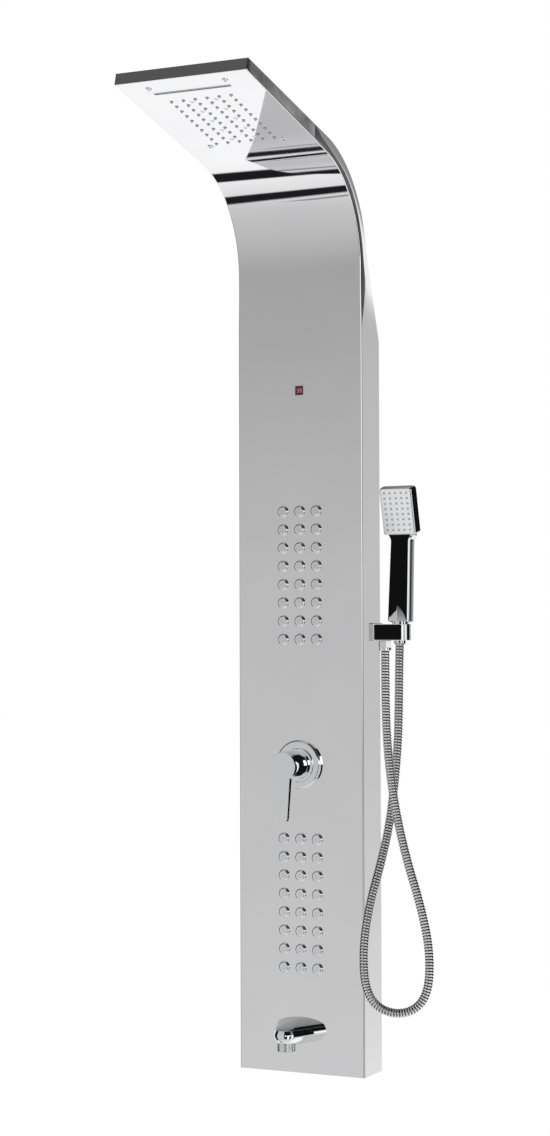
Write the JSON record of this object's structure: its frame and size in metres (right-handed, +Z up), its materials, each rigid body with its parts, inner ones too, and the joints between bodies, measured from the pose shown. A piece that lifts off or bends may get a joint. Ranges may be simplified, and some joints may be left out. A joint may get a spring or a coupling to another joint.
{
  "type": "shower panel column",
  "caption": "Wall-hung steel shower column with a curved neck and rain head, body jets, single-lever mixer, bath spout and a hand shower on a metal hose.",
  "frame": {"origin": "centre of the four wall-screw holes, on the wall plane", "axes": "+Z up, +Y into the wall, +X to the side that carries the hand shower"},
  "size_m": [0.3029, 0.4303, 1.3965],
  "materials": {
    "panel_steel": "mirror-bright stainless sheet",
    "inner_steel": "plain rolled stainless sheet",
    "chrome": "polished chrome plate on brass",
    "brass": "cast brass, unpolished",
    "black_gloss": "glossy black",
    "display_glass": "dark tinted window with a red glow",
    "white_plastic": "light grey moulded plastic",
    "grey_plastic": "grey moulded plastic",
    "nozzle_rubber": "light grey silicone",
    "lens": "clear lamp lens",
    "seal_rubber": "black rubber",
    "hose_metal": "chrome ribbed metal hose",
    "pipe_plastic": "braided inner hose",
    "circuit": "green circuit board"
  },
  "bodies": {
    "column": {"front_panel": "panel_steel", "back_cover": "panel_steel", "rain_chamber": "grey_plastic", "rain_nozzles": "nozzle_rubber", "led_lenses": "lens", "led_board": "circuit", "waterfall_nozzle": "chrome", "head_screws": "chrome", "display_bezel": "chrome", "display_window": "display_glass", "display_case": "grey_plastic", "body_jets": "chrome", "upper_jet_manifold": "grey_plastic", "lower_jet_manifold": "grey_plastic", "mixer_valve": "brass", "inlet_unions": "brass", "valve_gasket": "seal_rubber", "mixer_escutcheon": "chrome", "cartridge_dome": "chrome", "mixer_cartridge": "white_plastic", "cartridge_nut": "brass", "spout_body": "chrome", "spout_aerator": "chrome", "spout_gasket": "seal_rubber", "spout_nut": "brass", "handset_holder": "chrome", "holder_inlay": "black_gloss", "holder_flange": "chrome", "holder_nut": "brass", "hose_outlet": "brass", "hose_nut": "chrome", "shower_hose": "hose_metal", "rain_riser": "pipe_plastic", "waterfall_riser": "pipe_plastic", "upper_jets_pipe": "pipe_plastic", "lower_jets_pipe": "pipe_plastic", "spout_elbow": "brass", "spout_pipe": "pipe_plastic", "handset_pipe": "pipe_plastic", "upper_bracket": "inner_steel", "upper_hanger": "inner_steel", "lower_bracket": "inner_steel", "lower_hanger": "inner_steel"},
    "mixer_turn_body": {"stem_carrier": "white_plastic", "stem_pin": "inner_steel"},
    "mixer_lever": {"cartridge_stem": "brass", "mixer_handle": "chrome", "handle_screw": "inner_steel"},
    "selector": {"selector_ring": "chrome"},
    "handset": {"handset_body": "chrome", "grip_inlay": "black_gloss", "spray_face": "white_plastic", "hose_cone": "chrome"}
  },
  "joints": [
    {"name": "mixer_turn", "type": "hinge", "parent": "column", "child": "mixer_turn_body", "pos_m": [0, -0.0634, -0.1516], "axis": [0, 1, 0], "range_deg": [-45, 45]},
    {"name": "mixer_lift", "type": "hinge", "parent": "mixer_turn_body", "child": "mixer_lever", "pos_m": [0, -0.0774, -0.1516], "axis": [-1, 0, 0], "range_deg": [0, 18]},
    {"name": "selector_turn", "type": "hinge", "parent": "column", "child": "selector", "pos_m": [0, -0.0634, -0.1516], "axis": [0, 1, 0], "range_deg": [0, 180]},
    {"name": "handset_lift", "type": "slide", "parent": "column", "child": "handset", "axis": [0, 0, 1], "range_m": [0, 0.08]}
  ]
}
